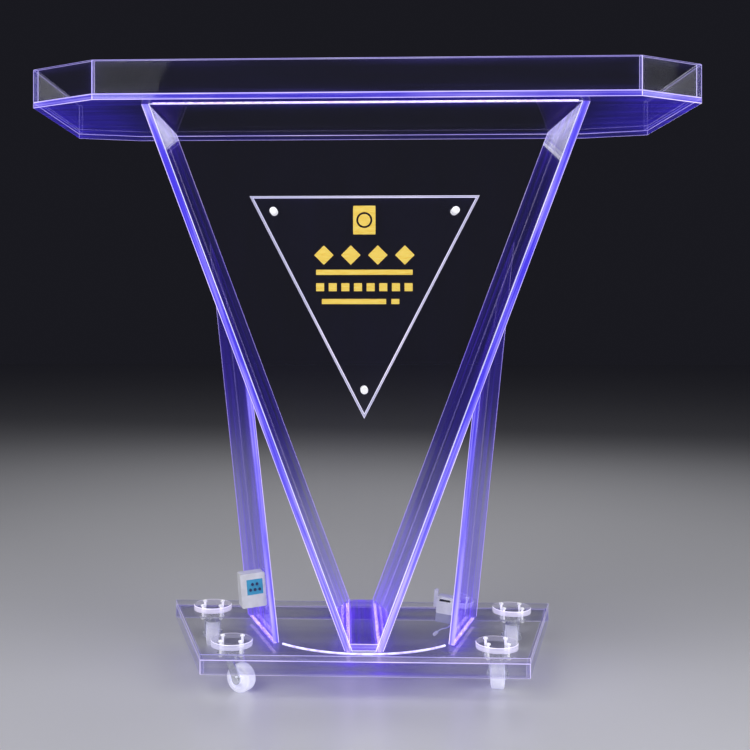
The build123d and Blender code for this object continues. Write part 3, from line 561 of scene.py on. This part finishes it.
def gold_film():
    """Brushed gold film, with a painted glow that keeps its colour bright in soft light."""
    paint = Paint("gold_film")
    brush = paint.span(paint.noise(paint.scaled(paint.place(), (60.0, 60.0, 3000.0)), 1.0), 0.3, 0.7)
    tone = paint.blend(brush, (0.95, 0.60, 0.06), (1.0, 0.80, 0.22))
    return paint.finish(
        Base_Color=tone,
        Metallic=0.8,
        Roughness=paint.span(brush, 0.0, 1.0, 0.24, 0.4),
        # A painted glow in the gold's own colour.
        Emission_Color=tone,
        Emission_Strength=0.55,
    )


def make_finishes():
    """One finish for each material slot that isn't clear acrylic."""
    return {
        "light_strip": glowing("lit_strip", (0.72, 0.48, 1.0), HOT, 2.0),
        "light_cable": glowing("light_cable", LAVENDER, PALE, 0.85),
        "wheel_nylon": wheel_nylon(),
        # Both plated finishes carry a painted glow, strongest on the fixings.
        "plated_steel": plated("plated_steel", (0.84, 0.86, 0.94), 0.18, 0.75, 0.07),
        "polished_fixings": plated("polished_fixings", (0.95, 0.95, 0.98), 0.30, 0.35, 0.4),
        "white_housing": moulded("white_housing", (0.88, 0.89, 0.94), 0.32),
        "grey_cover": moulded("grey_cover", (0.42, 0.43, 0.58), 0.42),
        "keypad_film": moulded("keypad_film", (0.06, 0.42, 0.72), 0.2, 0.01),
        "button_plastic": moulded("button_plastic", (0.03, 0.05, 0.16), 0.25),
        "circuit_board": circuit_board(),
        "cable_sheath": moulded("cable_sheath", (0.80, 0.83, 0.95), 0.38),
        "socket_plastic": moulded("socket_plastic", (0.90, 0.91, 0.95), 0.3),
    }


def dress_cad_nodes(finishes):
    """Give every CAD node that stays visible its finish."""
    for node, piece in frame["nodes"].items():
        finish = finishes.get(SLOTS[node])
        if finish:
            piece.data.materials.clear()
            piece.data.materials.append(finish)


# ------------------------------------------------------------------ rows of small parts
def row_tree():
    """Geometry Nodes: copies of one part along a straight row."""
    tree = bpy.data.node_groups.new("row_of_parts", "GeometryNodeTree")
    kinds = (("Part", "Object"), ("Count", "Int"), ("Start", "Vector"), ("Step", "Vector"),
             ("Turn", "Rotation"), ("Finish", "Material"))
    for name, kind in kinds:
        tree.interface.new_socket(name, in_out="INPUT", socket_type="NodeSocket" + kind)
    tree.interface.new_socket("Row", in_out="OUTPUT", socket_type="NodeSocketGeometry")
    given = tree.nodes.new("NodeGroupInput")
    line = tree.nodes.new("GeometryNodeMeshLine")
    part = tree.nodes.new("GeometryNodeObjectInfo")
    copies = tree.nodes.new("GeometryNodeInstanceOnPoints")
    real = tree.nodes.new("GeometryNodeRealizeInstances")
    dress = tree.nodes.new("GeometryNodeSetMaterial")
    result = tree.nodes.new("NodeGroupOutput")
    joins = (
        (given.outputs["Count"], line.inputs["Count"]),
        (given.outputs["Start"], line.inputs["Start Location"]),
        (given.outputs["Step"], line.inputs["Offset"]),
        (given.outputs["Part"], part.inputs["Object"]),
        (line.outputs["Mesh"], copies.inputs["Points"]),
        (part.outputs["Geometry"], copies.inputs["Instance"]),
        (given.outputs["Turn"], copies.inputs["Rotation"]),
        (copies.outputs["Instances"], real.inputs["Geometry"]),
        (real.outputs["Geometry"], dress.inputs["Geometry"]),
        (given.outputs["Finish"], dress.inputs["Material"]),
        (dress.outputs["Geometry"], result.inputs["Row"]),
    )
    for start, end in joins:
        tree.links.new(start, end)
    return tree


def row_mesh(tree, part, name, count, start, step, turn, finish):
    """The plain mesh that a row tree makes."""
    holder = bpy.data.objects.new(name + "_holder", bpy.data.meshes.new(name + "_holder"))
    bpy.context.scene.collection.objects.link(holder)
    row = holder.modifiers.new("row", "NODES")
    row.node_group = tree
    given = {"Part": part, "Count": count, "Start": tuple(start), "Step": tuple(step),
             "Turn": tuple(turn), "Finish": finish}
    for socket in tree.interface.items_tree:
        if socket.in_out == "INPUT":
            row[socket.identifier] = given[socket.name]
    bpy.context.view_layer.update()
    mesh = bpy.data.meshes.new_from_object(holder.evaluated_get(bpy.context.evaluated_depsgraph_get()))
    mesh.name = name
    holder.modifiers.remove(row)
    bpy.data.objects.remove(holder)
    return mesh


def small_block(name, size, bevel, taper=1.0):
    """A part for a row: a block with soft edges that narrows towards its top."""
    work = bmesh.new()
    bmesh.ops.create_cube(work, size=1.0)
    for vert in work.verts:
        narrow = taper if vert.co.z > 0 else 1.0
        vert.co = Vector((vert.co.x * size[0] * narrow, vert.co.y * size[1] * narrow, vert.co.z * size[2]))
    bmesh.ops.bevel(work, geom=work.edges, offset=bevel, segments=2, profile=0.5, affect="EDGES")
    mesh = bpy.data.meshes.new(name)
    work.to_mesh(mesh)
    work.free()
    return bpy.data.objects.new(name, mesh)


def islands(node):
    """The corner lists of each separate solid in a node."""
    work = joined_copy(node)
    left = set(work.verts)
    groups = []
    while left:
        group, edge = set(), {left.pop()}
        while edge:
            vert = edge.pop()
            group.add(vert)
            edge |= {e.other_vert(vert) for e in vert.link_edges} - group
        left -= group
        groups.append([v.co.copy() for v in group])
    work.free()
    return groups


def join_meshes(name, meshes):
    """Several meshes of one finish as one."""
    work = bmesh.new()
    for mesh in meshes:
        work.from_mesh(mesh)
    return finished_mesh(work, name, [meshes[0].materials[0]])


DIODE_PITCH = 16.7 * MM
DIODE = (5.0 * MM, 5.0 * MM, 1.0 * MM)


def build_diodes(tree, finish):
    """The diodes along each light strip, on the side that faces the board it lights."""
    part = small_block("diode", DIODE, 0.3 * MM, 0.9)
    meshes = []
    for number, corners in enumerate(islands("led_strips")):
        low_z = min(p.z for p in corners)
        high_z = max(p.z for p in corners)
        first = min(corners, key=lambda p: p.x + p.y)
        last = max(corners, key=lambda p: p.x + p.y)
        run = Vector((last.x - first.x, last.y - first.y, 0))
        count = int(run.length / DIODE_PITCH)
        step = run / count
        under_tray = low_z > (BASE_TOP + TRAY_UNDER) / 2
        z = low_z + DIODE[2] / 2 if under_tray else high_z - DIODE[2] / 2
        start = Vector((first.x, first.y, z)) + step / 2
        turn = (0, 0, math.atan2(run.y, run.x))
        meshes.append(row_mesh(tree, part, f"diode_row_{number}", count, start, step, turn, finish))
    adopt("strip_diodes", join_meshes("strip_diodes", meshes), body="stand")


RIB = (1.2 * MM, 17.0 * MM, 0.9 * MM)
RIB_COUNT = 4
RIB_PITCH = 3.0 * MM
RIB_START = 16.5 * MM
PEDAL_RISE = 3.5 / 28.0
PEDAL_HALF_SHEET = 1.25 * MM


def build_pedal_ribs(tree, finish):
    """Grip ribs across the end of each brake pedal."""
    part = small_block("pedal_rib", RIB, 0.25 * MM, 0.8)
    for joint in RECORD["behaviour"]["joints"]:
        if not joint["name"].endswith("_brake_press"):
            continue
        side_way = Vector(joint["axis"])
        trail = Vector((side_way.y, -side_way.x, 0))
        slope = (trail + Z_AXIS * PEDAL_RISE).normalized()
        top = slope.cross(side_way).normalized()
        top = top if top.z > 0 else -top
        start = Vector(joint["pos_m"]) + slope * RIB_START + top * (PEDAL_HALF_SHEET + RIB[2] * 0.3)
        turn = (0, -math.atan(PEDAL_RISE), math.atan2(trail.y, trail.x))
        name = joint["child"] + "_ribs"
        mesh = row_mesh(tree, part, name, RIB_COUNT, start, slope * RIB_PITCH, turn, finish)
        adopt(name, mesh, body=joint["child"])


# ------------------------------------------------------------------ emblem on the name plate
FILM = 0.3 * MM
PLATE_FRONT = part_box("name_plate")[0].y
PLATE_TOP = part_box("name_plate")[1].z
EMBLEM_WIDTH = 39.0 * MM
EMBLEM_HEIGHT = 50.0 * MM
EMBLEM_DROP = 43.0 * MM
RING_OUTER = 14.0 * MM
RING_INNER = 10.5 * MM
RING_SIDES = 48
NEARLY_LEVEL = 0.001
LOZENGE_COUNT = 4
LOZENGE_REACH = 17.0 * MM
LOZENGE_PITCH = 47.0 * MM
LOZENGE_DROP = 104.0 * MM
LINE_HEIGHT = 9.0 * MM
LONG_LINE = 168.0 * MM
LONG_LINE_DROP = 134.0 * MM
SQUARE_COUNT = 8
SQUARE = 14.0 * MM
SQUARE_PITCH = 22.0 * MM
SQUARE_DROP = 160.0 * MM
# The lowest line is in two lengths: where each is centred and how wide it is.
LOW_LINES = [(-18.0 * MM, 112.0 * MM), (54.0 * MM, 14.0 * MM)]
LOW_LINE_DROP = 185.0 * MM


def film_patch(work, outline):
    """A patch of film on the plate, from its outline in X and Z."""
    back = [work.verts.new((x, PLATE_FRONT, z)) for x, z in outline]
    front = [work.verts.new((x, PLATE_FRONT - FILM, z)) for x, z in outline]
    work.faces.new(front)
    work.faces.new(back[::-1])
    for index in range(len(outline)):
        after = (index + 1) % len(outline)
        work.faces.new((back[index], back[after], front[after], front[index]))


def oblong(x, z, width, height):
    """Corners of an upright oblong about a point."""
    return [(x + a * width / 2, z + b * height / 2) for a, b in ((-1, -1), (1, -1), (1, 1), (-1, 1))]


def lozenge(x, z, reach):
    """Corners of a lozenge about a point."""
    return [(x - reach, z), (x, z - reach), (x + reach, z), (x, z + reach)]


def tile_sector(x, z, index):
    """One short piece of the tile, from its ring out to its straight sides."""
    outline = []
    for turn in (2 * math.pi * (index + way) / RING_SIDES for way in (0, 1)):
        across, up = math.cos(turn), math.sin(turn)
        side_way = EMBLEM_WIDTH / 2 / max(abs(across), NEARLY_LEVEL)
        top_way = EMBLEM_HEIGHT / 2 / max(abs(up), NEARLY_LEVEL)
        side = min(side_way, top_way)
        outline.append([(x + reach * across, z + reach * up) for reach in (RING_OUTER, side)])
    (inner, outer), (next_inner, next_outer) = outline
    return [inner, outer, next_outer, next_inner]


def disc_outline(x, z, radius):
    """Points round a disc about a point."""
    turns = [2 * math.pi * index / RING_SIDES for index in range(RING_SIDES)]
    return [(x + radius * math.cos(turn), z + radius * math.sin(turn)) for turn in turns]


def build_emblem(finish):
    """A plain gold tile with a ring in it, over a row of lozenges and plain lines."""
    work = bmesh.new()
    middle = PLATE_TOP - EMBLEM_DROP
    for index in range(RING_SIDES):
        film_patch(work, tile_sector(0, middle, index))
    film_patch(work, disc_outline(0, middle, RING_INNER))
    for index in range(LOZENGE_COUNT):
        across = (index - (LOZENGE_COUNT - 1) / 2) * LOZENGE_PITCH
        film_patch(work, lozenge(across, PLATE_TOP - LOZENGE_DROP, LOZENGE_REACH))
    film_patch(work, oblong(0, PLATE_TOP - LONG_LINE_DROP, LONG_LINE, LINE_HEIGHT))
    for index in range(SQUARE_COUNT):
        across = (index - (SQUARE_COUNT - 1) / 2) * SQUARE_PITCH
        film_patch(work, oblong(across, PLATE_TOP - SQUARE_DROP, SQUARE, SQUARE))
    for across, width in LOW_LINES:
        film_patch(work, oblong(across, PLATE_TOP - LOW_LINE_DROP, width, LINE_HEIGHT))
    bmesh.ops.recalc_face_normals(work, faces=work.faces)
    adopt("plate_emblem", finished_mesh(work, "plate_emblem", [finish]), body="stand")


# ------------------------------------------------------------------ power lead
POWER_LIFT = 34.0 * MM
LEAD_DIAMETER = 2.0 * MM
LEAD_CURVE_STEPS = 16
# Points in the power box's frame: across, up, and towards the front.
LEAD_ROUTE = [
    (-4.0, 0.0, -20.0),
    (-4.0, -7.0, -20.0),
    (-11.0, -12.5, -20.5),
    (-22.5, -16.5, -20.5),
    (-27.0, -21.5, -20.0),
]


def power_box_frame():
    """The power box's frame, on the right prop's inner face: origin, across, up and back."""
    work = joined_copy("right_prop")
    foot = sorted((v.co.copy() for v in work.verts if v.co.z < BASE_TOP + MM), key=lambda p: p.y)
    rear_edge = max(work.edges, key=lambda e: e.calc_length())
    low, high = sorted((v.co.copy() for v in rear_edge.verts), key=lambda p: p.z)
    work.free()
    front, rear = (foot[0] + foot[1]) / 2, (foot[2] + foot[3]) / 2
    back = (rear - front).normalized()
    lean = (high - low).normalized()
    outward = back.cross(lean).normalized()
    half_board = abs((foot[1] - foot[0]).dot(outward)) / 2
    origin = front + lean * (POWER_LIFT / lean.z) - outward * half_board
    return origin, outward, outward.cross(back), back


def build_lead(finish):
    """The short lead that hangs from the power box with its socket on the end."""
    origin, across, up, back = power_box_frame()
    route = [origin + (across * x + up * y - back * z) * MM for x, y, z in LEAD_ROUTE]
    curve = bpy.data.curves.new("power_lead_cord", "CURVE")
    curve.dimensions = "3D"
    curve.bevel_depth = LEAD_DIAMETER / 2
    curve.bevel_resolution = 4
    curve.resolution_u = LEAD_CURVE_STEPS
    curve.use_fill_caps = True
    spline = curve.splines.new("NURBS")
    spline.points.add(len(route) - 1)
    for target, point in zip(spline.points, route):
        target.co = (*point, 1.0)
    spline.order_u = 3
    spline.use_endpoint_u = True
    curve.materials.append(finish)
    lead = bpy.data.objects.new("power_lead_cord", curve)
    bpy.context.scene.collection.objects.link(lead)
    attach(lead, "stand")
    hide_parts("power_lead")


# ------------------------------------------------------------------ stage, lights, camera
EYE = Vector((-0.0364, -2.0965, 0.6792))
EYE_TURN = 0.0374
LENS = 51.84
SHIFT = (0.096, -0.0836)
SENSOR = 36.0
FLOOR_HALF = 12.0


def make_stage():
    """A plain pale floor under a dark, plain background."""
    mesh = bpy.data.meshes.new("studio_floor")
    corners = [(a * FLOOR_HALF, b * FLOOR_HALF, 0) for a, b in ((-1, -1), (1, -1), (1, 1), (-1, 1))]
    mesh.from_pydata(corners, [], [(0, 1, 2, 3)])
    paint = Paint("studio_floor")
    haze = paint.noise(paint.place(), 0.8)
    mesh.materials.append(paint.finish(
        Base_Color=paint.blend(haze, (0.62, 0.62, 0.66), (0.67, 0.67, 0.71)), Roughness=0.32))
    floor = bpy.data.objects.new("studio_floor", mesh)
    bpy.context.scene.collection.objects.link(floor)
    world = bpy.data.worlds.new("studio")
    world.use_nodes = True
    background = world.node_tree.nodes["Background"]
    background.inputs["Color"].default_value = (0.010, 0.010, 0.014, 1.0)
    background.inputs["Strength"].default_value = 1.0
    bpy.context.scene.world = world
    bpy.context.scene.view_settings.view_transform = "Standard"


def softbox(name, place, aim, size, power):
    """One oblong studio light at a place, turned to face its aim."""
    lamp = bpy.data.lights.new(name, "AREA")
    lamp.shape = "RECTANGLE"
    lamp.size, lamp.size_y = size
    lamp.energy = power
    box = bpy.data.objects.new(name, lamp)
    box.location = place
    box.rotation_euler = (Vector(aim) - Vector(place)).to_track_quat("-Z", "Y").to_euler()
    bpy.context.scene.collection.objects.link(box)


def make_lights():
    """A key light at the left, a weaker one at the right, and one from behind."""
    softbox("key_softbox", (-1.5, -1.8, 2.2), (0, -0.1, 0.2), (2.6, 2.4), 64.0)
    softbox("fill_softbox", (1.9, -1.5, 1.4), (0, 0, 0.3), (2.2, 2.2), 38.0)
    softbox("rear_softbox", (0.4, 2.1, 2.4), (0, 0, 0.5), (2.8, 2.0), 26.0)


def make_camera():
    """The camera in front of the lectern, level, with a little shift for the framing."""
    lens = bpy.data.cameras.new("camera")
    lens.sensor_width = SENSOR
    lens.lens = LENS
    lens.shift_x, lens.shift_y = SHIFT
    camera = bpy.data.objects.new("camera", lens)
    camera.location = EYE
    camera.rotation_euler = (math.radians(90), 0, EYE_TURN)
    bpy.context.scene.collection.objects.link(camera)
    bpy.context.scene.camera = camera


make_camera()
kinds = make_acrylics()
finishes = make_finishes()
build_lead(finishes["cable_sheath"])
build_boards(kinds)
build_name_plate(kinds)
build_pads(kinds)
dress_cad_nodes(finishes)
rows = row_tree()
build_diodes(rows, glowing("diode_lens", HOT, (1.0, 0.95, 1.0), 4.0))
build_pedal_ribs(rows, finishes["plated_steel"])
build_emblem(gold_film())
make_stage()
make_lights()
